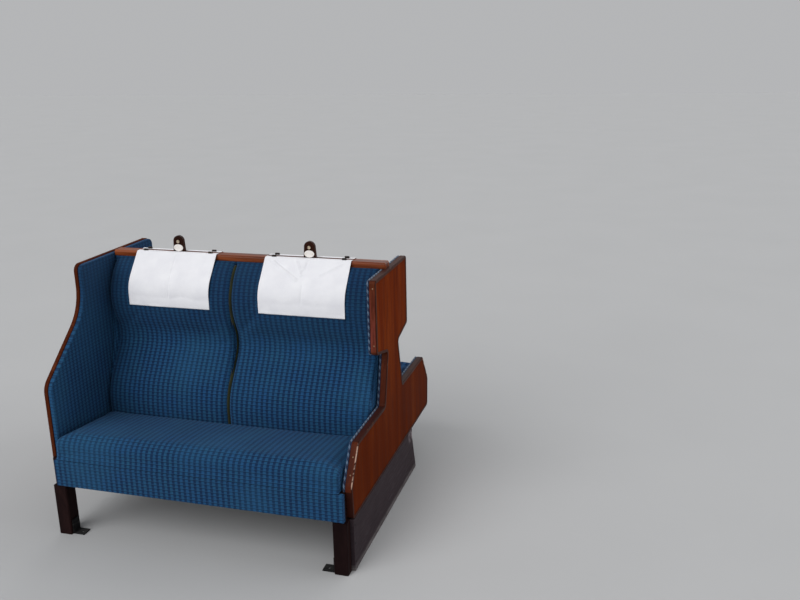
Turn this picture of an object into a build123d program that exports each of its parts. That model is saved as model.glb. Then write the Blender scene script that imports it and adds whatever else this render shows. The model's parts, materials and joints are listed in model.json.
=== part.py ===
from build123d import *
import os

# Back-to-back double seat of a railway saloon, in millimetres.
# X runs across the vehicle with the aisle at +X and the side wall at -X, Y runs along it,
# and Z is up from the floor. The origin is the middle of the unit, on the floor.

# Driving sizes of the whole unit
overall_width = 1251.0
end_thickness = 25.5
rail_top_z = 1038.0
base_z = 212.0
front_reach = 580.0

# Running gaps
soft_gap = 0.3
lift_gap = 5.5

# Aisle end: head wing, waist, arm, and a nose and foot set back from the seat's front
wing_half = 215.0
wing_foot_z = 724.0
wing_top_round = 14.0
wing_foot_round = 18.0
waist_half = 75.0
waist_z = 691.0
waist_round = 14.0
arm_root = 129.0
arm_z = 481.0
arm_back = 115.0
arm_round = 26.0
nose_back = 26.0
nose_z = 348.0
nose_round = 40.0
foot_back = 35.0
foot_round = 18.0
lipping_width = 12.0
lipping_proud = 1.0
lipping_bevel = 2.0
lining_thickness = 11.0
lining_inset = 3.0
lining_foot = 2.0

# Wall end, hidden in part, with a high back lining that sweeps down to the seat front
wall_board_thickness = 15.0
wall_lining_thickness = 18.0
wall_drop = 8.0
wall_top_round = 30.0
wall_back_half = 270.0
wall_sill_z = 850.0
wall_sill_round = 200.0
wall_sweep_z = 610.0
wall_sweep_round = 70.0
wall_front_back = 40.0

# Top rail and back board
rail_depth = 56.0
rail_height = 23.0
rail_round = 9.0
rail_lap = 9.0
rail_bevel = 5.0
board_thickness = 24.0

# Seat base
base_depth = 98.0
bearer_width = 63.0
end_rail_thickness = 25.0
valance_thickness = 20.0
slat_thickness = 12.0
slat_width = 66.0
slat_count = 5
slat_inset = 30.0
valance_round = 6.0

# Legs, kick board and floor brackets
leg_width = 55.0
leg_depth = 60.0
leg_edge = 3.0
rear_leg_y = 317.0
kick_thickness = 15.0
kick_clear = 3.0
kick_rake = 68.0
bracket_length = 50.0
bracket_height = 60.0
bracket_width = 40.0
bracket_thickness = 5.0
bolt_hole_r = 5.5
bolt_inset = 29.5

# Loose cushion
cushion_front_z = 418.0
cushion_back_z = 380.0
cushion_roll = 42.0
cushion_back_round = 12.0
cushion_foot_round = 4.0
cushion_setback = 2.0

# Squab, its two places meeting at the seam
seam_x = -26.0
seam_gap = 0.6
squab_tuck = 34.0
crown_y = 80.0
crown_z = 970.0
head_shoulder_y = 104.0
head_shoulder_z = 925.0
head_upper_y = 118.0
head_upper_z = 889.0
head_y = 122.0
head_z = 850.0
head_lower_y = 115.0
head_lower_z = 792.0
neck_y = 94.0
neck_z = 735.0
hollow_y = 86.0
hollow_z = 690.0
small_y = 98.0
small_z = 645.0
lumbar_top_y = 160.0
lumbar_top_z = 553.0
lumbar_mid_y = 197.0
lumbar_mid_z = 482.0
lumbar_y = 206.0
lumbar_z = 405.0

# Head cloths and what holds them
cloth_width = 367.0
cloth_thickness = 2.0
cloth_middle_x = -5.0
cloth_pitch = 584.0
cloth_hem_z = 831.0
cloth_start_y = 10.0
cloth_break = 5.0
cloth_fall_r = 120.0
button_length = 20.0
button_width = 9.0
button_height = 7.0
button_corner = 3.0
button_bevel = 1.5
button_offset = 150.0
button_y = 17.0

# Number holders on the rail
holder_width = 52.0
holder_neck = 45.0
holder_height = 68.0
holder_thickness = 18.0
holder_bevel = 2.0
plate_oval_width = 42.0
plate_oval_height = 29.0
plate_oval_thickness = 2.0
plate_oval_lift = 18.0
knob_r = 7.0
knob_lift = 44.0
knob_collar = 3.0
knob_tip_r = 3.0
knob_tip = 5.0

# Places worked out from the sizes above
outer_x = overall_width / 2
inner_x = outer_x - end_thickness
wall_x = outer_x - wall_board_thickness - wall_lining_thickness
rail_z = rail_top_z - rail_height
wing_top_z = rail_z
wall_top_z = rail_top_z - wall_drop
nose_half = front_reach - nose_back
base_top_z = base_z + base_depth
slat_top_z = base_top_z + slat_thickness
half_board = board_thickness / 2
lining_x = inner_x - lining_thickness
cloth_centres = {
    "wall": cloth_middle_x - cloth_pitch / 2,
    "aisle": cloth_middle_x + cloth_pitch / 2,
}
sides = {"front": -1, "rear": 1}


def save(node, shape):
    shape.label = node
    export_step(shape, os.path.join("parts", node + ".step"))


def block(x0, x1, y0, y1, z0, z1):
    """A plain box between two corners."""
    return Pos((x0 + x1) / 2, (y0 + y1) / 2, (z0 + z1) / 2) * Box(x1 - x0, y1 - y0, z1 - z0)


def across(profile, x0, x1):
    """A profile drawn as (y, z), carried along X."""
    return extrude(Plane.YZ.offset(x0) * profile, x1 - x0)


def mirrored_rows(rows):
    """A symmetric closed outline from rows of half depth, height and corner radius."""
    both = [(y, z, r) for y, z, r in rows] + [(-y, z, r) for y, z, r in reversed(rows)]
    line = FilletPolyline(*[(y, z) for y, z, r in both], radius=[r for y, z, r in both], close=True)
    return make_face(line)


def facing(shape, side):
    """Turns a shape made for the front seat to the rear one."""
    return shape if side == "front" else mirror(shape, about=Plane.XZ)


# Aisle end

def aisle_outline():
    # half depth, height, corner radius
    rows = [
        (wing_half, wing_top_z, wing_top_round),
        (wing_half, wing_foot_z, wing_foot_round),
        (waist_half, waist_z, waist_round),
        (arm_root, arm_z, waist_round),
        (front_reach - arm_back, arm_z, arm_round),
        (nose_half, nose_z, nose_round),
        (front_reach - foot_back, base_z, foot_round),
    ]
    return mirrored_rows(rows)


def aisle_end():
    outline = aisle_outline()
    core = offset(outline, -lipping_width, kind=Kind.INTERSECTION)
    panel = across(core, inner_x + lipping_proud, outer_x - lipping_proud)
    lipping = across(outline - core, inner_x, outer_x)
    faces = lipping.faces().filter_by(Axis.X).sort_by(Axis.X)
    rims = faces[0].outer_wire().edges() + faces[-1].outer_wire().edges()
    return panel, chamfer(rims, lipping_bevel)


def aisle_lining():
    """Half of the upholstered lining, on the front seat's side of the back board."""
    sheet = offset(aisle_outline(), -lining_inset, kind=Kind.INTERSECTION)
    lining = across(sheet, lining_x, inner_x)
    foot_z = slat_top_z + lining_foot
    return lining & block(lining_x, inner_x, -nose_half, -half_board - soft_gap, foot_z, wing_top_z)


# Wall end

def wall_outline():
    wall_half = front_reach - wall_front_back
    # half depth, height, corner radius
    rows = [
        (wall_back_half, wall_top_z, wall_top_round),
        (wall_back_half, wall_sill_z, wall_sill_round),
        (wall_half, wall_sweep_z, wall_sweep_round),
        (wall_half, base_z, foot_round),
    ]
    return mirrored_rows(rows)


def wall_board():
    return across(wall_outline(), -outer_x, -outer_x + wall_board_thickness)


def wall_lining():
    sheet = offset(wall_outline(), -lining_inset, kind=Kind.INTERSECTION)
    lining = across(sheet, -outer_x + wall_board_thickness, -wall_x)
    foot_z = slat_top_z + lining_foot
    return lining & block(-outer_x, -wall_x, -front_reach, -half_board - soft_gap, foot_z, wall_top_z)


# Top rail and back board

def rail_face():
    half = rail_depth / 2
    corners = [(-half, rail_z), (half, rail_z), (half, rail_top_z), (-half, rail_top_z)]
    return make_face(FilletPolyline(*corners, radius=[0, 0, rail_round, rail_round], close=True))


def top_rail():
    """The capping rail, which laps over the top of the aisle end."""
    rail = across(rail_face(), -wall_x + soft_gap, inner_x + rail_lap)
    end = rail.faces().sort_by(Axis.X)[-1]
    return chamfer(end.edges().sort_by(Axis.Z)[1:], rail_bevel)


def back_board():
    return block(-outer_x + wall_board_thickness, inner_x, -half_board, half_board, base_top_z, rail_z)


# Seat base

def bearer_spans():
    return {
        "aisle": (inner_x - bearer_width, inner_x),
        "centre": (-bearer_width / 2, bearer_width / 2),
        "wall": (-outer_x + wall_board_thickness, -wall_x + bearer_width),
    }


def end_rail_back():
    return front_reach - valance_thickness - end_rail_thickness


def bearer(x0, x1):
    reach = end_rail_back()
    return block(x0, x1, -reach, reach, base_z, base_top_z)


def end_rail():
    back = -end_rail_back()
    return block(
        -outer_x + wall_board_thickness, inner_x, back - end_rail_thickness, back, base_z, base_top_z
    )


def slats():
    """Slats across the bearers, from the back board out to the seat's front edge."""
    first = half_board + slat_inset
    last = front_reach - valance_thickness - slat_width
    step = (last - first) / (slat_count - 1)
    x0 = -outer_x + wall_board_thickness
    bars = [
        block(x0, inner_x, -first - i * step - slat_width, -first - i * step, base_top_z, slat_top_z)
        for i in range(slat_count)
    ]
    return Compound(children=bars)


def valance():
    front = -front_reach
    face = block(
        -wall_x + soft_gap, inner_x - soft_gap, front, front + valance_thickness,
        base_z + soft_gap, slat_top_z,
    )
    low_edges = face.edges().filter_by(Axis.X).sort_by(Axis.Z)[:2]
    return fillet(low_edges, valance_round)


# Legs, kick board and floor brackets

def leg(x_sign, y0):
    outer = outer_x - kick_thickness
    x0, x1 = sorted((x_sign * outer, x_sign * (outer - leg_width)))
    post = block(x0, x1, y0, y0 + leg_depth, 0, base_z)
    return chamfer(post.edges().filter_by(Axis.Z), leg_edge)


def leg_places():
    return {"front": -front_reach, "rear": rear_leg_y - leg_depth}


def kick_plate():
    """The board on the legs' outer faces, from the foot of the aisle end, with a raked rear edge."""
    front = foot_back - front_reach
    corners = [(front, kick_clear), (rear_leg_y, kick_clear), (rear_leg_y - kick_rake, base_z), (front, base_z)]
    face = make_face(Polyline(*corners, close=True))
    return across(face, outer_x - kick_thickness, outer_x)


def floor_bracket(x_sign, y0):
    """An angle beside the leg's inner face, with its foot on the floor."""
    leg_face = outer_x - kick_thickness - leg_width
    middle = y0 + leg_depth / 2
    x_far = leg_face - bracket_length
    foot = block(x_far, leg_face, middle - bracket_width / 2, middle + bracket_width / 2, 0, bracket_thickness)
    wall = block(
        leg_face - bracket_thickness, leg_face, middle - bracket_width / 2, middle + bracket_width / 2,
        0, bracket_height,
    )
    hole = Pos(leg_face - bolt_inset, middle, bracket_thickness / 2) * Cylinder(bolt_hole_r, 2 * bracket_thickness)
    angle = (foot + wall) - hole
    return angle if x_sign > 0 else mirror(angle, about=Plane.YZ)


# Soft pieces

def squab_face():
    top = rail_z - soft_gap
    bottom = slat_top_z + soft_gap
    back = -half_board - soft_gap
    line = Polyline((-squab_tuck, top), (back, top), (back, bottom), (-lumbar_y, bottom), (-lumbar_y, lumbar_z))
    lumbar = ThreePointArc((-lumbar_y, lumbar_z), (-lumbar_mid_y, lumbar_mid_z), (-lumbar_top_y, lumbar_top_z))
    # arcs up the front, each from the end of the last one by a middle point to its own end
    stages = [
        ((-hollow_y, hollow_z), (-neck_y, neck_z)),
        ((-head_lower_y, head_lower_z), (-head_y, head_z)),
        ((-head_upper_y, head_upper_z), (-head_shoulder_y, head_shoulder_z)),
        ((-crown_y, crown_z), (-squab_tuck, top)),
    ]
    start = (-small_y, small_z)
    front = [lumbar, Line((-lumbar_top_y, lumbar_top_z), start)]
    for middle, end in stages:
        front.append(ThreePointArc(start, middle, end))
        start = end
    return make_face(line.edges() + front)


def squab(x0, x1):
    return across(squab_face(), x0, x1)


def cushion():
    back = -(lumbar_y + lift_gap)
    front = -front_reach + cushion_setback
    bottom = slat_top_z + soft_gap
    corners = [(back, bottom), (back, cushion_back_z), (front, cushion_front_z), (front, bottom)]
    rounds = [0, cushion_back_round, cushion_roll, cushion_foot_round]
    face = make_face(FilletPolyline(*corners, radius=rounds, close=True))
    return across(face, -wall_x + lift_gap, lining_x - lift_gap)


# Head cloths, turn-buttons and number holders

def head_cloth(centre):
    """A cloth over the rail's front edge and down the head roll."""
    stand_off = soft_gap + cloth_thickness / 2
    fall_y = head_y + stand_off
    route = [
        (-cloth_start_y, rail_top_z + stand_off),
        (-rail_depth / 2 - stand_off, rail_top_z + stand_off),
        (-fall_y, head_shoulder_z - cloth_break),
        (-fall_y, cloth_hem_z),
    ]
    line = FilletPolyline(*route, radius=[rail_round, cloth_fall_r])
    face = trace(line, cloth_thickness)
    return across(face, centre - cloth_width / 2, centre + cloth_width / 2)


def turn_buttons():
    buttons = []
    z = rail_top_z + 2 * soft_gap + cloth_thickness
    for centre in cloth_centres.values():
        for step in (-1, 1):
            for y in (-button_y, button_y):
                x = centre + step * button_offset
                plan = chamfer(Rectangle(button_length, button_width).vertices(), button_corner)
                body = Pos(x, y, z) * extrude(plan, button_height)
                buttons.append(chamfer(body.faces().sort_by(Axis.Z)[-1].edges(), button_bevel))
    return Compound(children=buttons)


def number_holder(centre):
    half = holder_width / 2
    neck = holder_neck / 2
    arch_z = rail_top_z + holder_height - neck
    left = (-half, rail_top_z)
    right = (half, rail_top_z)
    outline = [
        Line(left, right),
        Line(right, (neck, arch_z)),
        ThreePointArc((neck, arch_z), (0, arch_z + neck), (-neck, arch_z)),
        Line((-neck, arch_z), left),
    ]
    body = extrude(Plane.XZ.offset(-holder_thickness / 2) * make_face(outline), holder_thickness)
    arches = [edge for face in body.faces().filter_by(Axis.Y) for edge in face.edges().filter_by(GeomType.CIRCLE)]
    return Pos(centre, 0, 0) * chamfer(arches, holder_bevel)


def number_plate(centre):
    oval = Ellipse(plate_oval_width / 2, plate_oval_height / 2)
    y = -holder_thickness / 2
    place = Plane((centre, y, rail_top_z + plate_oval_lift), x_dir=(1, 0, 0), z_dir=(0, -1, 0))
    return extrude(place * oval, plate_oval_thickness)


def holder_knob(centre):
    y = -holder_thickness / 2
    place = Plane((centre, y, rail_top_z + knob_lift), x_dir=(1, 0, 0), z_dir=(0, -1, 0))
    collar = Pos(0, 0, knob_collar / 2) * Cylinder(knob_r, knob_collar)
    tip = Pos(0, 0, knob_collar + knob_tip / 2) * Cone(knob_r, knob_tip_r, knob_tip)
    return place * (collar + tip)


def build():
    os.makedirs("parts", exist_ok=True)
    panel, lipping = aisle_end()
    save("aisle_end_panel", panel)
    save("aisle_end_lipping", lipping)
    save("wall_end_board", wall_board())
    save("top_rail", top_rail())
    save("back_board", back_board())
    for name, (x0, x1) in bearer_spans().items():
        save("bearer_" + name, bearer(x0, x1))
    for end, y0 in leg_places().items():
        save("leg_" + end + "_aisle", leg(1, y0))
        save("leg_" + end + "_wall", leg(-1, y0))
    brackets = [floor_bracket(sign, y0) for sign in (1, -1) for y0 in leg_places().values()]
    save("floor_brackets", Compound(children=brackets))
    save("kick_plate", kick_plate())
    for side in sides:
        save(side + "_seat_rail", facing(end_rail(), side))
        save(side + "_slats", facing(slats(), side))
        save(side + "_valance", facing(valance(), side))
        save(side + "_cushion", facing(cushion(), side))
        save(side + "_aisle_lining", facing(aisle_lining(), side))
        save(side + "_wall_lining", facing(wall_lining(), side))
        save(side + "_squab_aisle", facing(squab(seam_x + seam_gap / 2, lining_x - soft_gap), side))
        save(side + "_squab_wall", facing(squab(-wall_x + soft_gap, seam_x - seam_gap / 2), side))
        for place, centre in cloth_centres.items():
            save(side + "_head_cloth_" + place, facing(head_cloth(centre), side))
            save(side + "_number_plate_" + place, facing(number_plate(centre), side))
            save(side + "_holder_knob_" + place, facing(holder_knob(centre), side))
    save("turn_buttons", turn_buttons())
    for place, centre in cloth_centres.items():
        save("number_holder_" + place, number_holder(centre))


build()
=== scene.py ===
import json
import math

import bmesh
import bpy
import numpy as np
from mathutils import Matrix, Vector, noise
from mathutils.bvhtree import BVHTree


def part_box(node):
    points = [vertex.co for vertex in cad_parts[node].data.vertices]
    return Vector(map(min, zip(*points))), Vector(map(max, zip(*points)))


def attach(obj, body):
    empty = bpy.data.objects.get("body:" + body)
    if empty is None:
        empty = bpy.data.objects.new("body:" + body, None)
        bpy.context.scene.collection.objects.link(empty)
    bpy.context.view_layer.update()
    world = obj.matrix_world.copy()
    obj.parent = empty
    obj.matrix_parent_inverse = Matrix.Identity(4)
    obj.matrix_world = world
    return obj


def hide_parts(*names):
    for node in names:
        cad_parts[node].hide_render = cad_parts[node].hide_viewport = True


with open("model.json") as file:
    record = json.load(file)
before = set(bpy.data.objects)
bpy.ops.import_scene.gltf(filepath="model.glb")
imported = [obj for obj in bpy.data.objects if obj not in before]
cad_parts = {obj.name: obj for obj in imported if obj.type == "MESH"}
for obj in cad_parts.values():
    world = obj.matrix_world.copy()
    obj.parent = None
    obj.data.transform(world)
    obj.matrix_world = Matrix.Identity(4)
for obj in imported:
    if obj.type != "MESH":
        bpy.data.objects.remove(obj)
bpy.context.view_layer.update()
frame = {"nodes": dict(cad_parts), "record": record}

# Looks for a back-to-back double seat unit of a railway saloon, in metres.
# X runs across the vehicle with the aisle at +X, the front seat faces -Y, Z is up from the floor.

# Camera without lens distortion, fitted to the photograph
EYE = (1.5819, -3.1966, 1.8552)
TURN_LEFT = math.radians(16.126)
TILT_DOWN = math.radians(16.267)
ROLL = math.radians(-1.119)
FOCAL_PIXELS = 878.0
IMAGE_WIDTH = 800.0
SENSOR_WIDTH = 36.0

# Moquette check
CHECK_ACROSS = 0.0225
CHECK_ALONG = 0.0142

# Where painted shade, with some grime, darkens the moquette towards the heads
SHADE_GRIME_LOW_Z = 0.66
SHADE_GRIME_HIGH_Z = 0.96

# Upholstery
GRID = 0.012
SEAM_ROUND = 0.030
SEAM_DEPTH = 0.026
END_ROUND = 0.024
END_DEPTH = 0.023
END_GAP = 0.0045
CORNER_ROUND = 0.085
CORNER_DEPTH = 0.026
SEAT_END_ROUND = 0.030
SEAT_END_DEPTH = 0.016
SEAT_CROWN = 0.007
CROWN_START = 0.12
CROWN_SPAN = 0.70
FADE_SHARE = 0.008
SQUAB_CAP = 0.005
SEAT_CAP = 0.008
LINING_ROUND = 0.003
VALANCE_ROUND = 0.0012
BRAID_HALF_WIDTH = 0.0065
BRAID_HALF_THICK = 0.0030
BRAID_DEPTH = 0.0115
BRAID_STEP = 0.006
BRAID_FROM_FOOT = 0.03
BRAID_FROM_HEAD = 0.006
SWELL_FRAMES = 20

# Twisted cord round the aisle lining
CORD_R = 0.0034
CORD_TWIST = 0.014
CORD_START_Y = -0.034
CORD_STEP = 0.0022
STRAND_SWELL = 0.16
SWEPT_SIDES = 8

# Head cloths
CLOTH_STEP = 0.003
CLOTH_HEM = 0.012
CLOTH_SIDE_HEM = 0.006
CLOTH_HEM_RISE = 0.0006
CLOTH_THICK = 0.0010
CLOTH_CLEAR = 0.0014
CLOTH_FALL_START = 0.03
CLOTH_STAND_OFF = 0.0026
CLOTH_FOLD_DEPTH = 0.0022
CLOTH_FOLD_HALF = 0.0038
RAY_START = 0.05
RAY_LENGTH = 0.09

# Creases of the aisle cloths: height, start and end as (share of the width, metres down), half width
CREASES = (
    (0.0048, (0.09, 0.035), (0.41, 0.112), 0.0070),
    (-0.0040, (0.13, 0.033), (0.45, 0.110), 0.0045),
    (0.0042, (0.38, 0.030), (0.46, 0.092), 0.0065),
    (-0.0030, (0.52, 0.030), (0.47, 0.086), 0.0045),
    (0.0030, (0.90, 0.035), (0.68, 0.085), 0.0065),
)

# Parts of the aisle end that look different. NOSE_SLOPE is the nose's outward normal, forward and up.
LIPPING_FOOT_Z = 0.324
NOSE_LOW_Z = 0.338
NOSE_SLOPE = (0.831, 0.556)
ARM_FRONT_Y = 0.465
ARM_ROOT_Y = 0.12
WING_TOP_Z = 1.015
WING_HALF = 0.215
ARM_TOP_Z = 0.481
ARRIS_X = (0.6222, 0.6236)
WING_RUB_FOOT_Z = (0.715, 0.765)
WING_RUB_TOP_Z = (1.000, 0.965)
WING_RUB_X = (0.6232, 0.6180)

# Screws: the shape of a head as shares of its radius and height, radii, insets and places in (y, z)
SCREW_RINGS = 5
SCREW_SIDES = 20
SCREW_RISE = 0.35
SLOT_HALF = 0.16
SLOT_DEPTH = 0.5
PLATE_SCREW_R = 0.0016
LIPPING_SCREW_R = 0.0030
KICK_SCREW_R = 0.0042
PLATE_SCREW_INSET = 0.006
LIPPING_SCREW_INSET = 0.011
LIPPING_SCREWS = (
    ((-WING_HALF, WING_TOP_Z - 0.030), (-1, 0)),
    ((-WING_HALF, 0.760), (-1, 0)),
    ((-0.4952, 0.4360), (-NOSE_SLOPE[0], NOSE_SLOPE[1])),
    ((-0.5314, 0.3820), (-NOSE_SLOPE[0], NOSE_SLOPE[1])),
    ((-0.545, 0.245), (-1, 0)),
)
KICK_FRONT_INSET = 0.014
KICK_FRONT_Z = (0.035, 0.110, 0.185)
KICK_REAR_SCREWS = ((0.268, 0.035), (0.262, 0.120))

# Wide suns: name, the way the light goes, strength, spread in degrees
SUNS = (
    ("main", (0.55, 1.0, -0.90), 1.70, 50),
    ("front", (0.05, 1.0, -0.30), 0.55, 70),
    ("aisle", (-1.0, -0.30, -0.20), 1.4, 50),
    ("back", (-0.15, -1.0, -0.60), 0.7, 60),
)
FLOOR_HALF = 30

PLACES = ("wall", "aisle")


# Reading the frame

def outline_at_high_x(node):
    """The outline of the end face at a node's highest X, as (y, z) points in order."""
    mesh = bmesh.new()
    mesh.from_mesh(frame["nodes"][node].data)
    bmesh.ops.remove_doubles(mesh, verts=mesh.verts, dist=1e-5)
    high = max(v.co.x for v in mesh.verts)
    flat = {f for f in mesh.faces if all(v.co.x > high - 1e-5 for v in f.verts)}
    rim = [e for e in mesh.edges if sum(f in flat for f in e.link_faces) == 1]
    beside = {}
    for edge in rim:
        a, b = edge.verts
        beside.setdefault(a, []).append(b)
        beside.setdefault(b, []).append(a)
    first = min(beside, key=lambda v: (v.co.y, v.co.z))
    loop, last = [first], None
    while True:
        onward = [v for v in beside[loop[-1]] if v is not last]
        last = loop[-1]
        if onward[0] is first:
            break
        loop.append(onward[0])
    points = np.array([(v.co.y, v.co.z) for v in loop])
    mesh.free()
    return points


def route_between(loop, start, end, through):
    """The part of a closed outline from one corner to another that passes near a third point."""
    def nearest(point):
        return int(np.argmin(np.hypot(*(loop - np.array(point)).T)))
    a, b, c = nearest(start), nearest(end), nearest(through)
    count = len(loop)
    ahead = [(a + i) % count for i in range((b - a) % count + 1)]
    back = [(a - i) % count for i in range((a - b) % count + 1)]
    return loop[ahead if c in ahead else back]


def way_along(points):
    return np.r_[0, np.cumsum(np.hypot(*np.diff(points, axis=0).T))]


def even_route(points, step):
    """The same open line with points at an even step."""
    way = way_along(points)
    places = np.linspace(0, way[-1], max(2, round(way[-1] / step)) + 1)
    return np.column_stack([np.interp(places, way, points[:, i]) for i in (0, 1)])


def tight_ends(route):
    """Adds two close points at each end of a route, which keep its corners when it is smoothed."""
    near = [route[0] + (route[1] - route[0]) * t for t in (0.12, 0.4)]
    far = [route[-1] + (route[-2] - route[-1]) * t for t in (0.4, 0.12)]
    return np.vstack([route[:1], near, route[1:-1], far, route[-1:]])


def route_normals(route):
    """Unit normals of a route in (y, z), to the left of its way."""
    ahead = np.gradient(route, axis=0)
    normals = np.column_stack([-ahead[:, 1], ahead[:, 0]])
    return normals / np.linalg.norm(normals, axis=1, keepdims=True)


# Material helpers

def new_material(name, **values):
    """A material with its shader's even values set on the shader itself."""
    material = bpy.data.materials.new(name)
    material.use_nodes = True
    shader = material.node_tree.nodes["Principled BSDF"]
    for key, value in values.items():
        shader.inputs[key.replace("_", " ")].default_value = value
    return material, material.node_tree, shader


def add(tree, kind, inputs=None, **settings):
    """Adds a node, with each input a value or another node's output."""
    node = tree.nodes.new(kind)
    for key, value in settings.items():
        setattr(node, key, value)
    for key, value in (inputs or {}).items():
        if isinstance(value, bpy.types.NodeSocket):
            tree.links.new(value, node.inputs[key])
        else:
            node.inputs[key].default_value = value
    return node


def calc(tree, operation, a, b=0.0):
    return add(tree, "ShaderNodeMath", {0: a, 1: b}, operation=operation).outputs[0]


def product(tree, *values):
    result = values[0]
    for value in values[1:]:
        result = calc(tree, "MULTIPLY", result, value)
    return result


def between(tree, value, low, high, to_low=0.0, to_high=1.0):
    """A soft step as a value goes from low to high."""
    inputs = {"Value": value, "From Min": low, "From Max": high, "To Min": to_low, "To Max": to_high}
    return add(tree, "ShaderNodeMapRange", inputs, interpolation_type="SMOOTHSTEP").outputs["Result"]


def ramp(tree, factor, stops):
    """Colours or greys placed along a factor."""
    node = add(tree, "ShaderNodeValToRGB", {"Fac": factor})
    marks = node.color_ramp.elements
    while len(marks) < len(stops):
        marks.new(0.5)
    for mark, (place, colour) in zip(marks, stops):
        mark.position = place
        mark.color = (*colour, 1) if isinstance(colour, tuple) else (colour, colour, colour, 1)
    return node.outputs["Color"]


def blend(tree, factor, a, b, mode="MIX"):
    """Mixes two colours."""
    node = tree.nodes.new("ShaderNodeMix")
    node.data_type = "RGBA"
    node.blend_type = mode
    for index, value in ((0, factor), (6, a), (7, b)):
        if isinstance(value, bpy.types.NodeSocket):
            tree.links.new(value, node.inputs[index])
        else:
            node.inputs[index].default_value = value if index == 0 else (*value, 1)
    return node.outputs[2]


def bump(tree, shader, height, strength, distance):
    inputs = {"Height": height, "Strength": strength, "Distance": distance}
    normal = add(tree, "ShaderNodeBump", inputs).outputs["Normal"]
    tree.links.new(normal, shader.inputs["Normal"])


def place_of(tree, scale=(1, 1, 1)):
    """Position in the piece's own space, stretched."""
    where = add(tree, "ShaderNodeTexCoord").outputs["Object"]
    return add(tree, "ShaderNodeMapping", {"Vector": where, "Scale": scale}).outputs["Vector"]


def axes_of(tree, vector):
    split = add(tree, "ShaderNodeSeparateXYZ", {"Vector": vector})
    return split.outputs["X"], split.outputs["Y"], split.outputs["Z"]


def speckle(tree, vector, scale, detail=2.0, roughness=0.5, distortion=0.0):
    inputs = {"Vector": vector, "Scale": scale, "Detail": detail, "Roughness": roughness}
    inputs["Distortion"] = distortion
    return add(tree, "ShaderNodeTexNoise", inputs).outputs["Fac"]


def waves(tree, value, length):
    return calc(tree, "SINE", calc(tree, "MULTIPLY", value, 2 * math.pi / length))


# Fabrics

def moquette():
    """Wool pile in a small check: lighter stripes on navy, crossed by thin dark and light rows."""
    ground = (0.0048, 0.0255, 0.078)
    stripe_colour = (0.0118, 0.068, 0.182)
    stripe_faded = (0.0138, 0.077, 0.157)
    material, tree, shader = new_material(
        "moquette", Roughness=0.95, Sheen_Weight=0.12, Sheen_Roughness=0.5, Specular_IOR_Level=0.15,
    )
    weave = add(tree, "ShaderNodeUVMap", uv_map="weave").outputs["UV"]
    across, along = axes_of(tree, weave)[:2]
    wobble = calc(tree, "SUBTRACT", speckle(tree, weave, 60.0), 0.5)
    across = calc(tree, "ADD", across, calc(tree, "MULTIPLY", wobble, 0.0035))
    stripe = between(tree, waves(tree, across, CHECK_ACROSS), -0.5, 0.35)
    row = calc(tree, "FRACT", calc(tree, "DIVIDE", along, CHECK_ALONG))
    dark_row = between(tree, calc(tree, "ABSOLUTE", calc(tree, "SUBTRACT", row, 0.5)), 0.32, 0.47)
    light_row = between(tree, calc(tree, "ABSOLUTE", calc(tree, "SUBTRACT", row, 0.20)), 0.12, 0.02)

    patches = ramp(tree, speckle(tree, weave, 9.0, 3.0, 0.6), [(0.35, 0.0), (0.7, 1.0)])
    colour = blend(tree, stripe, ground, blend(tree, patches, stripe_colour, stripe_faded))
    colour = blend(tree, product(tree, light_row, 0.45), colour, (0.030, 0.12, 0.26))
    colour = blend(tree, product(tree, dark_row, 0.78), colour, (0.002, 0.010, 0.034))
    fibre = speckle(tree, weave, 700.0, 3.0, 0.7)
    colour = blend(tree, 0.55, colour, ramp(tree, fibre, [(0.3, 0.25), (0.7, 1.0)]), "MULTIPLY")
    worn = ramp(tree, speckle(tree, place_of(tree), 3.2, 3.0, 0.55), [(0.45, 0.0), (0.8, 0.3)])
    colour = blend(tree, worn, colour, (0.022, 0.10, 0.19))
    # Painted shade, with some grime: the moquette darkens towards the heads.
    height = axes_of(tree, place_of(tree))[2]
    shade_and_grime = between(tree, height, SHADE_GRIME_LOW_Z, SHADE_GRIME_HIGH_Z)
    colour = blend(tree, product(tree, shade_and_grime, 0.55), colour, (0.003, 0.014, 0.040))
    tree.links.new(colour, shader.inputs["Base Color"])
    shader.inputs["Sheen Tint"].default_value = (0.25, 0.5, 0.9, 1)

    ribs = product(tree, waves(tree, across, CHECK_ACROSS / 8), 0.15)
    relief = calc(tree, "ADD", calc(tree, "ADD", ribs, fibre), product(tree, dark_row, -0.5))
    bump(tree, shader, relief, 0.5, 0.0012)
    return material


def plain_fabric(name, colour, light, scale):
    """A close plain weave, for braid."""
    material, tree, shader = new_material(name, Roughness=0.9, Specular_IOR_Level=0.2, Sheen_Weight=0.1)
    where = place_of(tree)
    thread = speckle(tree, where, scale, 2.0, 0.6)
    faded = ramp(tree, speckle(tree, where, 14.0, 3.0), [(0.3, 0.0), (0.75, 1.0)])
    mixed = blend(tree, faded, colour, light)
    mixed = blend(tree, 0.3, mixed, ramp(tree, thread, [(0.25, 0.5), (0.75, 1.0)]), "MULTIPLY")
    tree.links.new(mixed, shader.inputs["Base Color"])
    bump(tree, shader, thread, 0.35, 0.0006)
    return material


def cord_fabric():
    """Two twisted strands, one pale blue and one navy."""
    material, tree, shader = new_material("cord", Roughness=0.75, Specular_IOR_Level=0.3, Sheen_Weight=0.2)
    turn = axes_of(tree, add(tree, "ShaderNodeUVMap", uv_map="weave").outputs["UV"])[0]
    strand = between(tree, waves(tree, turn, 1.0), -0.15, 0.25)
    fibre = speckle(tree, place_of(tree), 900.0, 2.0)
    colour = blend(tree, strand, (0.007, 0.016, 0.050), (0.088, 0.140, 0.215))
    colour = blend(tree, 0.4, colour, ramp(tree, fibre, [(0.3, 0.5), (0.7, 1.0)]), "MULTIPLY")
    tree.links.new(colour, shader.inputs["Base Color"])
    bump(tree, shader, fibre, 0.3, 0.0005)
    return material


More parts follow.
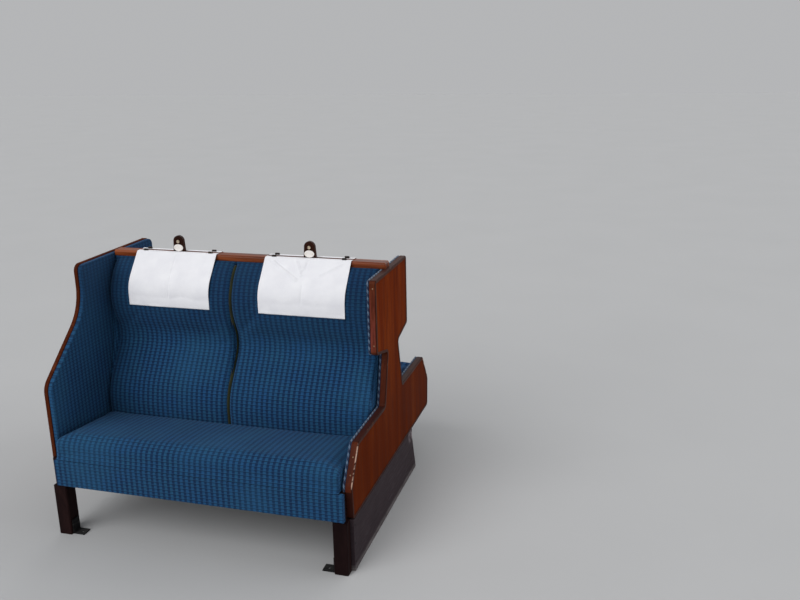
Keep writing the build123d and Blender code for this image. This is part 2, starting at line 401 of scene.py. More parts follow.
def cotton():
    """White cotton in a plain weave."""
    material, tree, shader = new_material(
        "cotton", Roughness=0.85, Specular_IOR_Level=0.2, Sheen_Weight=0.1,
    )
    weave = add(tree, "ShaderNodeUVMap", uv_map="weave").outputs["UV"]
    across, along = axes_of(tree, weave)[:2]
    cloth = product(tree, waves(tree, across, 0.0011), waves(tree, along, 0.0011))
    soft = speckle(tree, weave, 12.0, 3.0, 0.55)
    colour = ramp(tree, soft, [(0.3, (0.70, 0.70, 0.735)), (0.7, (0.77, 0.77, 0.795))])
    tree.links.new(colour, shader.inputs["Base Color"])
    fine = speckle(tree, weave, 900.0)
    bump(tree, shader, calc(tree, "ADD", product(tree, cloth, 0.4), fine), 0.3, 0.0005)
    return material


# Woods, paints and metals

def wood(name, deep, mid, bright, figure, gloss=0.06, roughness=0.40, marks=None):
    """Varnished wood. figure squeezes the grain along X, Y and Z, marks recolours places."""
    material, tree, shader = new_material(name, Specular_IOR_Level=gloss)
    broad = speckle(tree, place_of(tree, figure), 1.6, 4.0, 0.55, 0.6)
    ribbon = speckle(tree, place_of(tree, tuple(2.6 * f for f in figure)), 2.2, 6.0, 0.65, 0.9)
    grain = speckle(tree, place_of(tree, tuple(14.0 * f for f in figure)), 3.0, 3.0, 0.6)
    pores = speckle(tree, place_of(tree, tuple(38.0 * f for f in figure)), 4.0)
    colour = ramp(tree, broad, [(0.28, deep), (0.5, mid), (0.72, bright)])
    colour = blend(tree, ramp(tree, ribbon, [(0.35, 0.75), (0.55, 0.0)]), colour, deep)
    colour = blend(tree, ramp(tree, ribbon, [(0.58, 0.0), (0.75, 0.6)]), colour, bright)
    colour = blend(tree, 0.3, colour, ramp(tree, grain, [(0.3, 0.5), (0.65, 1.0)]), "MULTIPLY")
    colour = blend(tree, 0.25, colour, ramp(tree, pores, [(0.36, 0.4), (0.46, 1.0)]), "MULTIPLY")
    if marks is not None:
        colour = marks(tree, colour)
    tree.links.new(colour, shader.inputs["Base Color"])
    dull = between(tree, ribbon, 0.3, 0.75, roughness - 0.05, roughness + 0.10)
    tree.links.new(dull, shader.inputs["Roughness"])
    bump(tree, shader, calc(tree, "ADD", grain, product(tree, pores, 0.6)), 0.12, 0.0006)
    return material


def lipping_marks(tree, colour):
    """Painted shade on the wing's and the arm's upper faces; darker arrises, partly their own tone and
    partly painted shade; darker feet, a redder wing front, and an outer arris rubbed bare in places.
    """
    x, y, z = axes_of(tree, place_of(tree))
    reach = calc(tree, "ABSOLUTE", y)
    # Painted shade: the upper faces of the wing and the arm are painted darker.
    wing_top = between(tree, z, WING_TOP_Z - 0.003, WING_TOP_Z - 0.0015)
    arm_top = product(
        tree, between(tree, z, ARM_TOP_Z - 0.0025, ARM_TOP_Z - 0.001),
        between(tree, z, ARM_TOP_Z + 0.002, ARM_TOP_Z + 0.001),
        between(tree, reach, ARM_ROOT_Y, ARM_ROOT_Y + 0.01),
    )
    painted_shade_tops = calc(tree, "ADD", wing_top, arm_top)
    colour = blend(tree, product(tree, painted_shade_tops, 0.75), colour, (0.026, 0.010, 0.009))
    streaks = speckle(tree, place_of(tree, (60, 30, 6)), 1.5, 4.0, 0.6)
    streaks = ramp(tree, streaks, [(0.34, 0.10), (0.66, 1.0)])
    rubbed = product(
        tree, between(tree, reach, WING_HALF - 0.0015, WING_HALF - 0.0005),
        between(tree, z, *WING_RUB_TOP_Z), between(tree, z, *WING_RUB_FOOT_Z),
        between(tree, x, *WING_RUB_X), streaks,
    )
    colour = blend(tree, product(tree, rubbed, 0.9), colour, (0.20, 0.044, 0.032))
    # The outer arris and outer face are darker, partly the lipping's own darker tone and partly painted
    # shade.
    arris = between(tree, x, *ARRIS_X)
    colour = blend(tree, product(tree, arris, 0.75), colour, (0.020, 0.006, 0.004))
    foot = product(
        tree, between(tree, z, LIPPING_FOOT_Z + 0.002, LIPPING_FOOT_Z - 0.002),
        between(tree, reach, 0.50, 0.505), between(tree, x, 0.6238, 0.6228),
    )
    colour = blend(tree, product(tree, foot, 0.85), colour, (0.016, 0.005, 0.004))
    dashes = speckle(tree, place_of(tree, (1, 8, 26)), 1.6, 3.0, 0.6)
    dashes = ramp(tree, dashes, [(0.40, 0.0), (0.52, 1.0)])
    forward = product(tree, calc(tree, "SUBTRACT", reach, ARM_FRONT_Y), NOSE_SLOPE[0])
    upward = product(tree, calc(tree, "SUBTRACT", z, ARM_TOP_Z), NOSE_SLOPE[1])
    rim = between(tree, calc(tree, "ADD", forward, upward), -0.0080, -0.0045)
    worn = product(
        tree, arris, rim, between(tree, reach, ARM_FRONT_Y - 0.003, ARM_FRONT_Y + 0.005),
        between(tree, z, NOSE_LOW_Z - 0.01, NOSE_LOW_Z + 0.004), dashes,
    )
    colour = blend(tree, product(tree, worn, 0.85), colour, (0.50, 0.33, 0.25))
    rubs = ramp(tree, speckle(tree, place_of(tree), 34.0, 4.0, 0.7), [(0.60, 0.0), (0.70, 0.5)])
    return blend(tree, product(tree, arris, rubs), colour, (0.16, 0.07, 0.04))


def panel_marks(tree, colour):
    """The panel darkens towards its foot."""
    height = axes_of(tree, place_of(tree))[2]
    low = between(tree, height, 0.85, 0.35)
    return blend(tree, product(tree, low, 0.5), colour, (0.045, 0.009, 0.003))


def sawn_wood():
    """Plain softwood, unpolished and dirty with age."""
    material, tree, shader = new_material("frame_wood", Roughness=0.8, Specular_IOR_Level=0.2)
    grain = speckle(tree, place_of(tree, (2.0, 22.0, 22.0)), 3.0, 5.0, 0.6, 0.4)
    fine = speckle(tree, place_of(tree, (12.0, 160.0, 160.0)), 3.0)
    browns = [(0.3, (0.045, 0.026, 0.015)), (0.55, (0.095, 0.058, 0.033)), (0.75, (0.15, 0.098, 0.058))]
    colour = ramp(tree, grain, browns)
    colour = blend(tree, 0.3, colour, ramp(tree, fine, [(0.35, 0.5), (0.6, 1.0)]), "MULTIPLY")
    tree.links.new(colour, shader.inputs["Base Color"])
    bump(tree, shader, calc(tree, "ADD", grain, fine), 0.25, 0.0008)
    return material


def kick_marks(tree, colour):
    """A pale rubbed band along the lower edge and a scuff at the rear top."""
    y, z = axes_of(tree, place_of(tree))[1:]
    broken = ramp(tree, speckle(tree, place_of(tree, (1, 5, 30)), 3.0, 4.0, 0.6), [(0.35, 0.2), (0.6, 1.0)])
    band = product(tree, between(tree, z, 0.030, 0.014), broken, 0.6)
    colour = blend(tree, band, colour, (0.16, 0.145, 0.145))
    scuff = product(
        tree, between(tree, y, 0.195, 0.225), between(tree, z, 0.150, 0.195),
        ramp(tree, speckle(tree, place_of(tree), 45.0, 4.0, 0.7), [(0.42, 0.0), (0.6, 1.0)]),
    )
    return blend(tree, product(tree, scuff, 0.7), colour, (0.30, 0.25, 0.27))


def scuffed_paint(name, base, scuff, roughness=0.5, amount=0.6, marks=None):
    """Paint with long rubs and small chips."""
    material, tree, shader = new_material(name, Specular_IOR_Level=0.03)
    long_rub = speckle(tree, place_of(tree, (1.0, 3.0, 26.0)), 3.5, 5.0, 0.7, 0.5)
    dirt = speckle(tree, place_of(tree), 9.0, 5.0, 0.6)
    chips = speckle(tree, place_of(tree), 110.0, 3.0, 0.6)
    colour = blend(tree, ramp(tree, dirt, [(0.3, 0.0), (0.75, 0.7)]), base, tuple(0.55 * c for c in base))
    colour = blend(tree, ramp(tree, long_rub, [(0.50, 0.0), (0.80, amount)]), colour, scuff)
    colour = blend(tree, ramp(tree, chips, [(0.68, 0.0), (0.72, 0.5 * amount)]), colour, scuff)
    if marks is not None:
        colour = marks(tree, colour)
    tree.links.new(colour, shader.inputs["Base Color"])
    rough = between(tree, long_rub, 0.3, 0.75, roughness - 0.1, roughness + 0.2)
    tree.links.new(rough, shader.inputs["Roughness"])
    bump(tree, shader, calc(tree, "ADD", chips, long_rub), 0.15, 0.0005)
    return material


def worn_metal(name, base, tarnish, roughness=0.28):
    material, tree, shader = new_material(name, Metallic=1.0, Roughness=roughness)
    spots = speckle(tree, place_of(tree), 160.0, 4.0, 0.65)
    colour = blend(tree, ramp(tree, spots, [(0.45, 0.0), (0.7, 0.8)]), base, tarnish)
    tree.links.new(colour, shader.inputs["Base Color"])
    bump(tree, shader, spots, 0.1, 0.0003)
    return material


def gloss_plate(name, base, stain):
    material, tree, shader = new_material(name, Roughness=0.3, Specular_IOR_Level=0.4)
    spots = speckle(tree, place_of(tree), 70.0, 4.0, 0.6)
    colour = blend(tree, ramp(tree, spots, [(0.4, 0.0), (0.8, 0.6)]), base, stain)
    tree.links.new(colour, shader.inputs["Base Color"])
    bump(tree, shader, spots, 0.05, 0.0003)
    return material


def make_materials():
    """The finishes, by the record's slot names where a slot has one."""
    upright = (1.0, 7.0, 0.5)
    tall = (1.0, 7.0, 0.16)
    along_x = (0.55, 9.0, 9.0)
    even = (5.0, 1.2, 1.2)
    veneer_reds = (0.068, 0.0085, 0.001), (0.127, 0.017, 0.001), (0.193, 0.038, 0.005)
    board_reds = (0.046, 0.010, 0.004), (0.080, 0.018, 0.007), (0.112, 0.030, 0.011)
    lipping_reds = (0.030, 0.006, 0.003), (0.080, 0.017, 0.007), (0.130, 0.036, 0.014)
    rail_reds = (0.060, 0.011, 0.003), (0.17, 0.036, 0.009), (0.27, 0.070, 0.020)
    holder_browns = (0.012, 0.004, 0.003), (0.030, 0.009, 0.005), (0.055, 0.018, 0.010)
    leg_browns = (0.006, 0.0025, 0.0028), (0.014, 0.006, 0.006), (0.026, 0.011, 0.010)
    kick_greys = (0.031, 0.022, 0.026), (0.050, 0.039, 0.044)
    bracket_greys = (0.012, 0.012, 0.013), (0.08, 0.075, 0.07)
    return {
        "moquette": moquette(),
        "cotton": cotton(),
        "veneer": wood("veneer", *veneer_reds, upright, 0.003, marks=panel_marks),
        "dark_wood": wood("dark_wood", *board_reds, tall, 0.003),
        "lipping_wood": wood("lipping_wood", *lipping_reds, even, 0.03, marks=lipping_marks),
        "holder_wood": wood("holder_wood", *holder_browns, even),
        "rail_wood": wood("rail_wood", *rail_reds, along_x, 0.15, 0.34),
        "leg_wood": wood("leg_wood", *leg_browns, upright, 0.04, 0.5),
        "frame_wood": sawn_wood(),
        "kick_paint": scuffed_paint("kick_paint", *kick_greys, marks=kick_marks),
        "bracket_steel": scuffed_paint("bracket_steel", *bracket_greys, 0.45, 0.5),
        "button_metal": scuffed_paint("button_metal", (0.030, 0.024, 0.022), (0.16, 0.12, 0.07), 0.35, 0.6),
        "brass": worn_metal("brass", (0.80, 0.68, 0.50), (0.35, 0.25, 0.14)),
        "dull_brass": worn_metal("dull_brass", (0.28, 0.17, 0.10), (0.10, 0.06, 0.04), 0.45),
        "ivorine": gloss_plate("ivorine", (0.80, 0.77, 0.74), (0.60, 0.53, 0.47)),
        "braid": plain_fabric("braid", (0.008, 0.010, 0.003), (0.024, 0.028, 0.006), 420.0),
        "cord": cord_fabric(),
    }


# Meshes

def link(name, mesh):
    piece = bpy.data.objects.new(name, mesh)
    bpy.context.scene.collection.objects.link(piece)
    return piece


def new_piece(name, vertices, faces, material):
    mesh = bpy.data.meshes.new(name)
    mesh.from_pydata([tuple(v) for v in vertices], [], faces)
    mesh.validate()
    mesh.materials.append(material)
    mesh.polygons.foreach_set("use_smooth", [True] * len(mesh.polygons))
    mesh.update()
    return link(name, mesh)


def set_uv(mesh, values):
    """Stores one (u, v) per vertex as the weave."""
    corners = np.empty(len(mesh.loops), int)
    mesh.loops.foreach_get("vertex_index", corners)
    mesh.uv_layers.new(name="weave").data.foreach_set("uv", np.asarray(values)[corners].ravel())


def positions(piece):
    found = np.empty(len(piece.data.vertices) * 3)
    piece.data.vertices.foreach_get("co", found)
    return found.reshape(-1, 3)


def set_positions(piece, found):
    piece.data.vertices.foreach_set("co", np.asarray(found, float).ravel())
    piece.data.update()


def settle_modifiers(piece):
    """Makes the modifiers' result the piece's own mesh."""
    mesh = bpy.data.meshes.new_from_object(piece.evaluated_get(bpy.context.evaluated_depsgraph_get()))
    piece.modifiers.clear()
    old = piece.data
    piece.data = mesh
    bpy.data.meshes.remove(old)
    mesh.name = piece.name


def mirrored(piece, name):
    """The piece's mirror image for the rear seat."""
    mesh = piece.data.copy()
    mesh.name = name
    mesh.transform(Matrix.Diagonal((1, -1, 1, 1)))
    mesh.flip_normals()
    return link(name, mesh)


# Upholstery

def stations(low, high, round_low, round_high, step):
    """Places from low to high, closer together over the rounded ends."""
    turns = np.radians([0, 12, 24, 36, 48, 60, 74, 90])
    start = low + round_low * (1 - np.cos(turns))
    end = high - round_high * (1 - np.cos(turns))
    inner = np.linspace(start[-1], end[-1], max(2, round((end[-1] - start[-1]) / step)) + 1)
    return np.r_[start[:-1], inner, end[:-1][::-1]]


def rounded(distance, radius, depth):
    """How far a surface lies back at a distance from its end."""
    t = np.clip(1 - distance / radius, 0, 1)
    return depth * (1 - np.sqrt(1 - t * t))


def pad(name, route, behind, x_low, x_high, ends, material, swell=None):
    """A closed pad: a route in (y, z) carried along X, laid back at its rounded ends, and closed behind.

    ends is (radius, depth) for the low and the high end. swell(share along route, share across) is
    added along the route's normal. Returns the piece and its free vertices, which are the pad's face.
    """
    (round_low, depth_low), (round_high, depth_high) = ends
    xs = stations(x_low, x_high, round_low, round_high, GRID)
    normals = route_normals(route)
    count = len(route)
    share = way_along(route) / way_along(route)[-1]
    fade = np.clip(np.minimum(share, 1 - share) / FADE_SHARE, 0, 1)
    ring = count + len(behind)
    vertices, free = [], []
    for x in xs:
        back = rounded(x - x_low, round_low, depth_low) + rounded(x_high - x, round_high, depth_high)
        out = -back * fade
        if swell is not None:
            out = out + swell(share, (x - x_low) / (x_high - x_low)) * fade
        for (y, z), (ny, nz), move in zip(route, normals, out):
            vertices.append((x, y + ny * move, z + nz * move))
        vertices.extend((x, y, z) for y, z in behind)
    faces = []
    for i in range(len(xs) - 1):
        for j in range(ring):
            a, b = i * ring + j, i * ring + (j + 1) % ring
            faces.append((a, a + ring, b + ring, b))
        if 0 < i < len(xs) - 1:
            free.extend(range(i * ring + 2, i * ring + count - 2))
    faces.append(tuple(range(ring)))
    faces.append(tuple(reversed(range((len(xs) - 1) * ring, len(xs) * ring))))
    return new_piece(name, vertices, faces, material), free


def inflate(piece, free, cap):
    """Swells a pad's face by cloth simulation and moves no point further than cap."""
    rest = positions(piece)
    loose = set(free)
    pinned = piece.vertex_groups.new(name="pinned")
    pinned.add([i for i in range(len(rest)) if i not in loose], 1.0, "REPLACE")
    cloth = piece.modifiers.new("cloth", "CLOTH")
    settings = cloth.settings
    settings.quality = 6
    settings.mass = 0.4
    settings.tension_stiffness = 18
    settings.compression_stiffness = 18
    settings.shear_stiffness = 8
    settings.bending_stiffness = 1.2
    settings.use_pressure = True
    settings.uniform_pressure_force = 4.0
    settings.vertex_group_mass = "pinned"
    settings.effector_weights.gravity = 0
    cloth.collision_settings.use_collision = False
    cloth.collision_settings.use_self_collision = False
    scene = bpy.context.scene
    for number in range(1, SWELL_FRAMES + 1):
        scene.frame_set(number)
    view = piece.evaluated_get(bpy.context.evaluated_depsgraph_get())
    found = np.empty(len(rest) * 3)
    view.data.vertices.foreach_get("co", found)
    piece.modifiers.remove(cloth)
    piece.vertex_groups.remove(pinned)
    scene.frame_set(1)
    moved = found.reshape(-1, 3) - rest
    length = np.linalg.norm(moved, axis=1, keepdims=True)
    set_positions(piece, rest + moved * np.minimum(1, cap / np.maximum(length, 1e-9)))


def soften(piece):
    """One applied subdivision."""
    piece.modifiers.new("smooth", "SUBSURF").levels = 1
    settle_modifiers(piece)
    piece.data.polygons.foreach_set("use_smooth", [True] * len(piece.data.polygons))


def lay_weave(piece, axis, route):
    """A UV map in metres: across is the place on an axis, along the way on the nearest route point.

    route holds (other horizontal axis, z) points. A face that looks along the axis takes the other one.
    """
    other = 1 - axis
    mesh = piece.data
    found = positions(piece)
    way = way_along(route)
    flat = found[:, (other, 2)]
    along = np.empty(len(flat))
    ahead = np.diff(route, axis=0)
    lengths = np.maximum(np.hypot(*ahead.T), 1e-9)
    for start in range(0, len(flat), 4000):
        some = flat[start:start + 4000, None, :] - route[None, :-1, :]
        t = np.clip((some * ahead).sum(2) / lengths ** 2, 0, 1)
        best = np.linalg.norm(some - t[..., None] * ahead, axis=2).argmin(1)
        rows = np.arange(len(best))
        along[start:start + 4000] = way[best] + t[rows, best] * lengths[best]
    corners = np.empty(len(mesh.loops), int)
    mesh.loops.foreach_get("vertex_index", corners)
    sideways = np.zeros(len(mesh.loops), bool)
    for face in mesh.polygons:
        if abs(face.normal[axis]) > 0.8:
            sideways[face.loop_start:face.loop_start + face.loop_total] = True
    across = np.where(sideways, found[corners, other], found[corners, axis])
    up = np.where(sideways, found[corners, 2], along[corners])
    mesh.uv_layers.new(name="weave").data.foreach_set("uv", np.column_stack([across, up]).ravel())


def squab_route():
    """The squab's face from its foot to the rail."""
    low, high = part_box("front_squab_wall")
    loop = outline_at_high_x("front_squab_wall")
    top = loop[loop[:, 1] > high.z - 1e-5]
    tuck = top[np.argmin(top[:, 0])]
    route = route_between(loop, (low.y, low.z), tuck, (low.y, (low.z + high.z) / 2))
    return tight_ends(even_route(route, GRID))


def squab(place, materials):
    low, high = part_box("front_squab_" + place)
    route = squab_route()
    behind = [(high.y, high.z), (high.y, low.z)]
    seam = (SEAM_ROUND, SEAM_DEPTH)
    if place == "wall":
        x_low, x_high, ends = low.x + END_GAP, high.x, ((CORNER_ROUND, CORNER_DEPTH), seam)
    else:
        x_low, x_high, ends = low.x, high.x - END_GAP, (seam, (END_ROUND, END_DEPTH))
    piece, free = pad("squab_front_" + place, route, behind, x_low, x_high, ends, materials["moquette"])
    inflate(piece, free, SQUAB_CAP)
    soften(piece)
    lay_weave(piece, 0, route)
    return piece


def seat_cushion(materials):
    low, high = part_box("front_cushion")
    loop = outline_at_high_x("front_cushion")
    front_foot = loop[np.argmin(loop.sum(1))]
    route = route_between(loop, front_foot, (high.y, low.z), (low.y / 2, high.z))
    route = tight_ends(even_route(route, GRID))

    def crown(share, across):
        top = np.sin(np.pi * np.clip((share - CROWN_START) / CROWN_SPAN, 0, 1))
        return SEAT_CROWN * top * math.sin(math.pi * across) ** 0.5

    end = (SEAT_END_ROUND, SEAT_END_DEPTH)
    piece, free = pad("cushion_front", route, [], low.x, high.x, (end, end), materials["moquette"], crown)
    inflate(piece, free, SEAT_CAP)
    soften(piece)
    lay_weave(piece, 0, route)
    return piece


def covered_board(node, name, material, edge_round):
    """An upholstered board in the place of a flat CAD one, with rounded arrises."""
    mesh = bmesh.new()
    mesh.from_mesh(frame["nodes"][node].data)
    bmesh.ops.remove_doubles(mesh, verts=mesh.verts, dist=1e-5)
    bmesh.ops.dissolve_limit(mesh, angle_limit=0.01, verts=mesh.verts, edges=mesh.edges)
    data = bpy.data.meshes.new(name)
    mesh.to_mesh(data)
    mesh.free()
    data.materials.clear()
    data.materials.append(material)
    piece = link(name, data)
    edge = piece.modifiers.new("edge", "BEVEL")
    edge.width = edge_round
    edge.segments = 3
    edge.limit_method = "ANGLE"
    settle_modifiers(piece)
    return piece


def dress(piece, body, nodes=()):
    """Says which CAD nodes a piece replaces and what it rides on."""
    if nodes:
        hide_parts(*nodes)
    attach(piece, body)


def dress_both(front, body, nodes=()):
    """Dresses a front piece and its mirror image, in whose names front becomes rear, and returns that."""
    rear = mirrored(front, front.name.replace("front", "rear"))
    dress(front, body, nodes)
    rear_nodes = [node.replace("front", "rear") for node in nodes]
    dress(rear, body.replace("front", "rear"), rear_nodes)
    return rear


def upholster(materials):
    for place in PLACES:
        dress_both(squab(place, materials), "frame", ["front_squab_" + place])
    dress_both(seat_cushion(materials), "front_seat", ["front_cushion"])
    for part, axis, edge in (
        ("aisle_lining", 1, LINING_ROUND), ("wall_lining", 1, LINING_ROUND), ("valance", 0, VALANCE_ROUND),
    ):
        low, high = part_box("front_" + part)
        front = covered_board("front_" + part, part + "_front", materials["moquette"], edge)
        lay_weave(front, axis, np.array([(0.0, low.z), (0.0, high.z)]))
        dress_both(front, "frame", ["front_" + part])


# Trimmings

def swept(name, x, route, half_width, half_thick, material, twist=0.0):
    """A cord or braid along a route in (y, z) at one X. With a twist it has two strands."""
    normals = route_normals(route)
    way = way_along(route)
    sides = SWEPT_SIDES
    vertices, weave = [], []
    for (y, z), (ny, nz), s in zip(route, normals, way):
        for k in range(sides + 1):
            angle = 2 * math.pi * k / sides
            turn = s / twist if twist else 0.0
            r = 1 + (STRAND_SWELL * math.cos(2 * angle - 2 * math.pi * turn) if twist else 0.0)
            side, out = r * half_width * math.cos(angle), r * half_thick * math.sin(angle)
            vertices.append((x + side, y + out * ny, z + out * nz))
            weave.append((angle / (2 * math.pi) - 0.5 * turn, s))
    ring = sides + 1
    faces = [
        (i * ring + k, i * ring + k + 1, (i + 1) * ring + k + 1, (i + 1) * ring + k)
        for i in range(len(route) - 1) for k in range(sides)
    ]
    faces.append(tuple(reversed(range(sides))))
    faces.append(tuple((len(route) - 1) * ring + k for k in range(sides)))
    piece = new_piece(name, vertices, faces, material)
    set_uv(piece.data, weave)
    return piece


def seam_braid(materials):
    """The braid down the recess where two squabs meet."""
    low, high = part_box("front_squab_aisle")
    route = squab_route()
    inner = route - route_normals(route) * BRAID_DEPTH
    kept = (route[:, 1] > low.z + BRAID_FROM_FOOT) & (route[:, 1] < high.z - BRAID_FROM_HEAD)
    inner = even_route(inner[kept], BRAID_STEP)
    front = swept("seam_braid_front", low.x, inner, BRAID_HALF_WIDTH, BRAID_HALF_THICK, materials["braid"])
    dress_both(front, "frame")


def lining_cord(materials):
    """The twisted cord round the edge of the aisle lining, from the rail to the foot of the nose."""
    low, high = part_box("front_aisle_lining")
    loop = outline_at_high_x("front_aisle_lining")
    bottom = loop[loop[:, 1] <= low.z + 1e-4]
    foot = bottom[np.argmin(bottom[:, 0])]
    route = route_between(loop, (high.y, high.z), foot, (-0.21, 0.9))
    route = route[route[:, 0] < CORD_START_Y]
    route = np.vstack([(CORD_START_Y, high.z), route])
    route = even_route(route, CORD_STEP)
    x = (low.x + high.x) / 2
    front = swept("lining_cord_front", x, route, CORD_R, CORD_R, materials["cord"], CORD_TWIST)
    dress_both(front, "frame")


def screw_mesh(mesh, place, normal, radius, height, turn):
    """Adds one slotted screw head to a bmesh."""
    rings, sides = SCREW_RINGS, SCREW_SIDES
    stand = Vector(normal).to_track_quat("Z", "Y").to_matrix().to_4x4() @ Matrix.Rotation(turn, 4, "Z")
    stand = Matrix.Translation(place) @ stand
    rows = []
    for i in range(rings + 1):
        r = radius * i / rings
        row = []
        for k in range(sides if i else 1):
            angle = 2 * math.pi * k / sides
            x, y = r * math.cos(angle), r * math.sin(angle)
            z = height * math.sqrt(max(0.0, 1 - (i / rings) ** 2.5))
            if abs(y) < SLOT_HALF * radius and i < rings:
                z -= SLOT_DEPTH * height
            row.append(mesh.verts.new(stand @ Vector((x, y, z))))
        rows.append(row)
    for k in range(sides):
        mesh.faces.new((rows[0][0], rows[1][k], rows[1][(k + 1) % sides]))
    for inner, outer in zip(rows[1:], rows[2:]):
        for k in range(sides):
            n = (k + 1) % sides
            mesh.faces.new((inner[k], outer[k], outer[n], inner[n]))


def screws(name, places, material):
    """One piece with several screw heads, each (place, normal, radius)."""
    mesh = bmesh.new()
    for number, (place, normal, radius) in enumerate(places):
        screw_mesh(mesh, place, normal, radius, SCREW_RISE * radius, 0.4 + 1.3 * number)
    data = bpy.data.meshes.new(name)
    mesh.to_mesh(data)
    mesh.free()
    data.materials.append(material)
    data.polygons.foreach_set("use_smooth", [True] * len(data.polygons))
    piece = link(name, data)
    dress(piece, "frame")


def both_ends(places):
    """The same places at the front and, mirrored, at the rear."""
    return places + [((x, -y, z), (nx, -ny, nz), r) for (x, y, z), (nx, ny, nz), r in places]


def fasteners(materials):
    plates = []
    for place in PLACES:
        low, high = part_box("front_number_plate_" + place)
        for x in (low.x + PLATE_SCREW_INSET, high.x - PLATE_SCREW_INSET):
            plates.append(((x, low.y, (low.z + high.z) / 2), (0, -1, 0), PLATE_SCREW_R))
    screws("plate_screws", both_ends(plates), materials["brass"])

    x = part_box("aisle_end_lipping")[1].x - LIPPING_SCREW_INSET
    caps = [((x, y, z), (0, ny, nz), LIPPING_SCREW_R) for (y, z), (ny, nz) in LIPPING_SCREWS]
    screws("lipping_screws", both_ends(caps), materials["dull_brass"])

    low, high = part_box("kick_plate")
    places = [(low.y + KICK_FRONT_INSET, z) for z in KICK_FRONT_Z] + list(KICK_REAR_SCREWS)
    rows = [((high.x, y, z), (1, 0, 0), KICK_SCREW_R) for y, z in places]
    screws("kick_screws", rows, materials["bracket_steel"])


# Head cloths

def cloth_route(node):
    """A cloth's outer face line in (y, z), from the rail to the hem."""
    low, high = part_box(node)
    loop = outline_at_high_x(node)
    outer = route_between(loop, (high.y, high.z), (low.y, low.z), (-0.03, high.z))
    return even_route(outer, CLOTH_STEP)


def ridge(u, v, start, end, width):
    """A soft ridge along a line across a cloth, in metres."""
    ax, ay = start
    dx, dy = end[0] - ax, end[1] - ay
    t = min(1.0, max(0.0, ((u - ax) * dx + (v - ay) * dy) / (dx * dx + dy * dy)))
    gap = math.hypot(u - ax - t * dx, v - ay - t * dy)
    return math.exp(-(gap / width) ** 2)


def cloth_relief(place, u, v, width, length):
    """How far a cloth stands off its even line, with soft waves, folds and the hem."""
    fall = min(1.0, max(0.0, (v - CLOTH_FALL_START) / (length - CLOTH_FALL_START)))
    seed = 3.0 if place == "wall" else 11.0
    out = CLOTH_STAND_OFF * fall
    out += noise.noise(Vector((14.0 * u + seed, 5.0 * v, seed))) * 0.0030 * fall
    out += noise.noise(Vector((38.0 * u, 20.0 * v + seed, 2 * seed))) * 0.0010 * fall
    middle = 0.50 * width
    out -= CLOTH_FOLD_DEPTH * ridge(u, v, (middle, CLOTH_FALL_START), (middle, length), CLOTH_FOLD_HALF)
    if place == "aisle":
        for height, start, end, half in CREASES:
            out += height * ridge(u, v, (start[0] * width, start[1]), (end[0] * width, end[1]), half)
    if length - v < CLOTH_HEM or u < CLOTH_SIDE_HEM or width - u < CLOTH_SIDE_HEM:
        out += CLOTH_HEM_RISE
    return out


def lift_clear(points, normals, piece):
    """How far each point of a cloth's grid has to move out to clear a piece, evened out."""
    tree = BVHTree.FromObject(piece, bpy.context.evaluated_depsgraph_get())
    rows, columns = points.shape[:2]
    moves = np.zeros((rows, columns))
    for i in range(rows):
        for j in range(columns):
            normal = Vector((0.0, *normals[j]))
            start = Vector(points[i, j]) + normal * RAY_START
            hit = tree.ray_cast(start, -normal, RAY_LENGTH)[0]
            if hit is not None:
                above = (hit - Vector(points[i, j])).dot(normal) + CLOTH_CLEAR
                moves[i, j] = max(0.0, above)
    for _ in range(3):
        padded = np.pad(moves, 1, mode="edge")
        beside = padded[:-2, 1:-1] + padded[2:, 1:-1] + padded[1:-1, :-2] + padded[1:-1, 2:]
        evened = (beside + 2 * moves) / 6
        moves = np.maximum(moves, evened)
    return moves


def head_cloth(place, materials):
    node = "front_head_cloth_" + place
    low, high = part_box(node)
    route = cloth_route(node)
    normals = -route_normals(route)
    way = way_along(route)
    width, length = high.x - low.x, way[-1]
    across = np.linspace(0, width, round(width / CLOTH_STEP) + 1)
    points = np.empty((len(across), len(route), 3))
    for i, u in enumerate(across):
        for j, v in enumerate(way):
            out = cloth_relief(place, u, v, width, length) - 0.5 * CLOTH_THICK
            points[i, j] = (low.x + u, route[j, 0] + normals[j, 0] * out, route[j, 1] + normals[j, 1] * out)
    moves = lift_clear(points, normals, bpy.data.objects["squab_front_" + place])
    points[..., 1:] += moves[..., None] * normals[None]
    count = len(route)
    faces = [
        (i * count + j, (i + 1) * count + j, (i + 1) * count + j + 1, i * count + j + 1)
        for i in range(len(across) - 1) for j in range(count - 1)
    ]
    piece = new_piece("head_cloth_front_" + place, points.reshape(-1, 3), faces, materials["cotton"])
    set_uv(piece.data, [(u, v) for u in across for v in way])
    thick = piece.modifiers.new("thickness", "SOLIDIFY")
    thick.thickness = CLOTH_THICK
    thick.offset = 0.0
    settle_modifiers(piece)
    return piece, (round(width, 3), round(length, 3))


def head_cloths(materials):
    for place in PLACES:
        front, flat = head_cloth(place, materials)
        rear = dress_both(front, "frame", ["front_head_cloth_" + place])


# CAD nodes that stay in view

def finish_nodes(materials):
    slots = {part["node"]: part["material_slot"] for part in frame["record"]["subparts"]}
    special = {"top_rail": "rail_wood", "aisle_end_lipping": "lipping_wood"}
    special.update({"number_holder_" + place: "holder_wood" for place in PLACES})
    special.update({"front_slats": "leg_wood", "rear_slats": "leg_wood"})
    for name, node in frame["nodes"].items():
        node.data.materials.clear()
        node.data.materials.append(materials[special.get(name, slots[name])])


# Camera, lights and floor

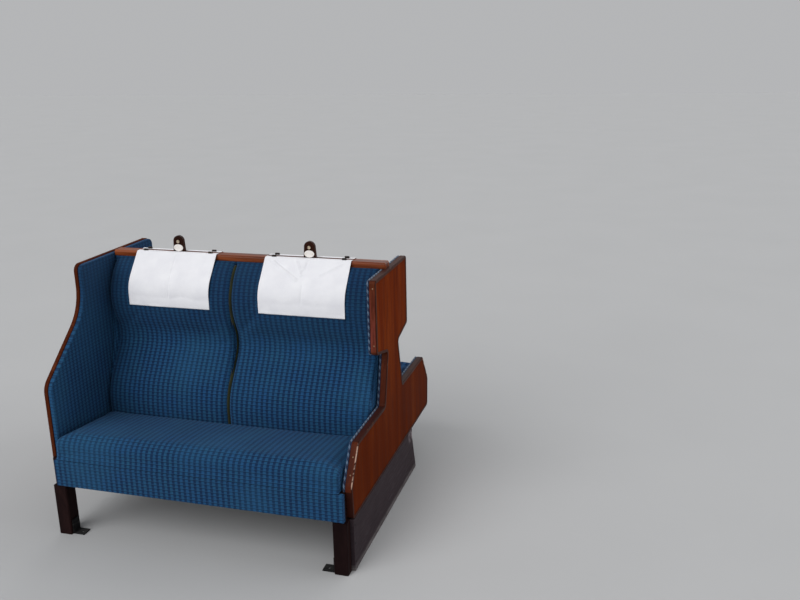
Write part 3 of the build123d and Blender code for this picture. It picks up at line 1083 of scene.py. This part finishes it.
def make_camera():
    data = bpy.data.cameras.new("camera")
    data.sensor_width = SENSOR_WIDTH
    data.lens = FOCAL_PIXELS * SENSOR_WIDTH / IMAGE_WIDTH
    camera = link("camera", data)
    flat = math.cos(TILT_DOWN)
    ahead = Vector((-math.sin(TURN_LEFT) * flat, math.cos(TURN_LEFT) * flat, -math.sin(TILT_DOWN)))
    level = Vector((math.cos(TURN_LEFT), math.sin(TURN_LEFT), 0))
    upright = level.cross(ahead)
    right = math.cos(ROLL) * level + math.sin(ROLL) * upright
    up = -math.sin(ROLL) * level + math.cos(ROLL) * upright
    camera.matrix_world = Matrix.Translation(EYE) @ Matrix((right, up, -ahead)).transposed().to_4x4()
    bpy.context.scene.camera = camera


def soft_sun(name, ahead, power, spread):
    """Even light along one way, with the soft shadows of a large lamp. spread is in degrees."""
    data = bpy.data.lights.new(name, "SUN")
    data.energy = power
    data.angle = math.radians(spread)
    link(name, data).rotation_euler = Vector(ahead).to_track_quat("-Z", "Y").to_euler()


def pale_floor():
    material, tree, shader = new_material("pale_floor", Roughness=1.0, Specular_IOR_Level=0.0)
    soft = speckle(tree, place_of(tree), 1.5, 3.0)
    colour = ramp(tree, soft, [(0.3, (0.431, 0.434, 0.438)), (0.7, (0.441, 0.444, 0.448))])
    tree.links.new(colour, shader.inputs["Base Color"])
    return material


def make_studio():
    world = bpy.data.worlds.new("studio")
    world.use_nodes = True
    background = world.node_tree.nodes["Background"]
    background.inputs["Color"].default_value = (0.92, 0.93, 0.95, 1)
    background.inputs["Strength"].default_value = 0.50
    bpy.context.scene.world = world
    for name, ahead, power, spread in SUNS:
        soft_sun(name, ahead, power, spread)
    corners = [(FLOOR_HALF * x, FLOOR_HALF * y, 0) for x, y in ((-1, -1), (1, -1), (1, 1), (-1, 1))]
    new_piece("floor", corners, [(0, 1, 2, 3)], pale_floor())


def main():
    bpy.context.scene.view_settings.view_transform = "Standard"
    make_camera()
    make_studio()
    materials = make_materials()
    finish_nodes(materials)
    upholster(materials)
    seam_braid(materials)
    lining_cord(materials)
    head_cloths(materials)
    fasteners(materials)


main()
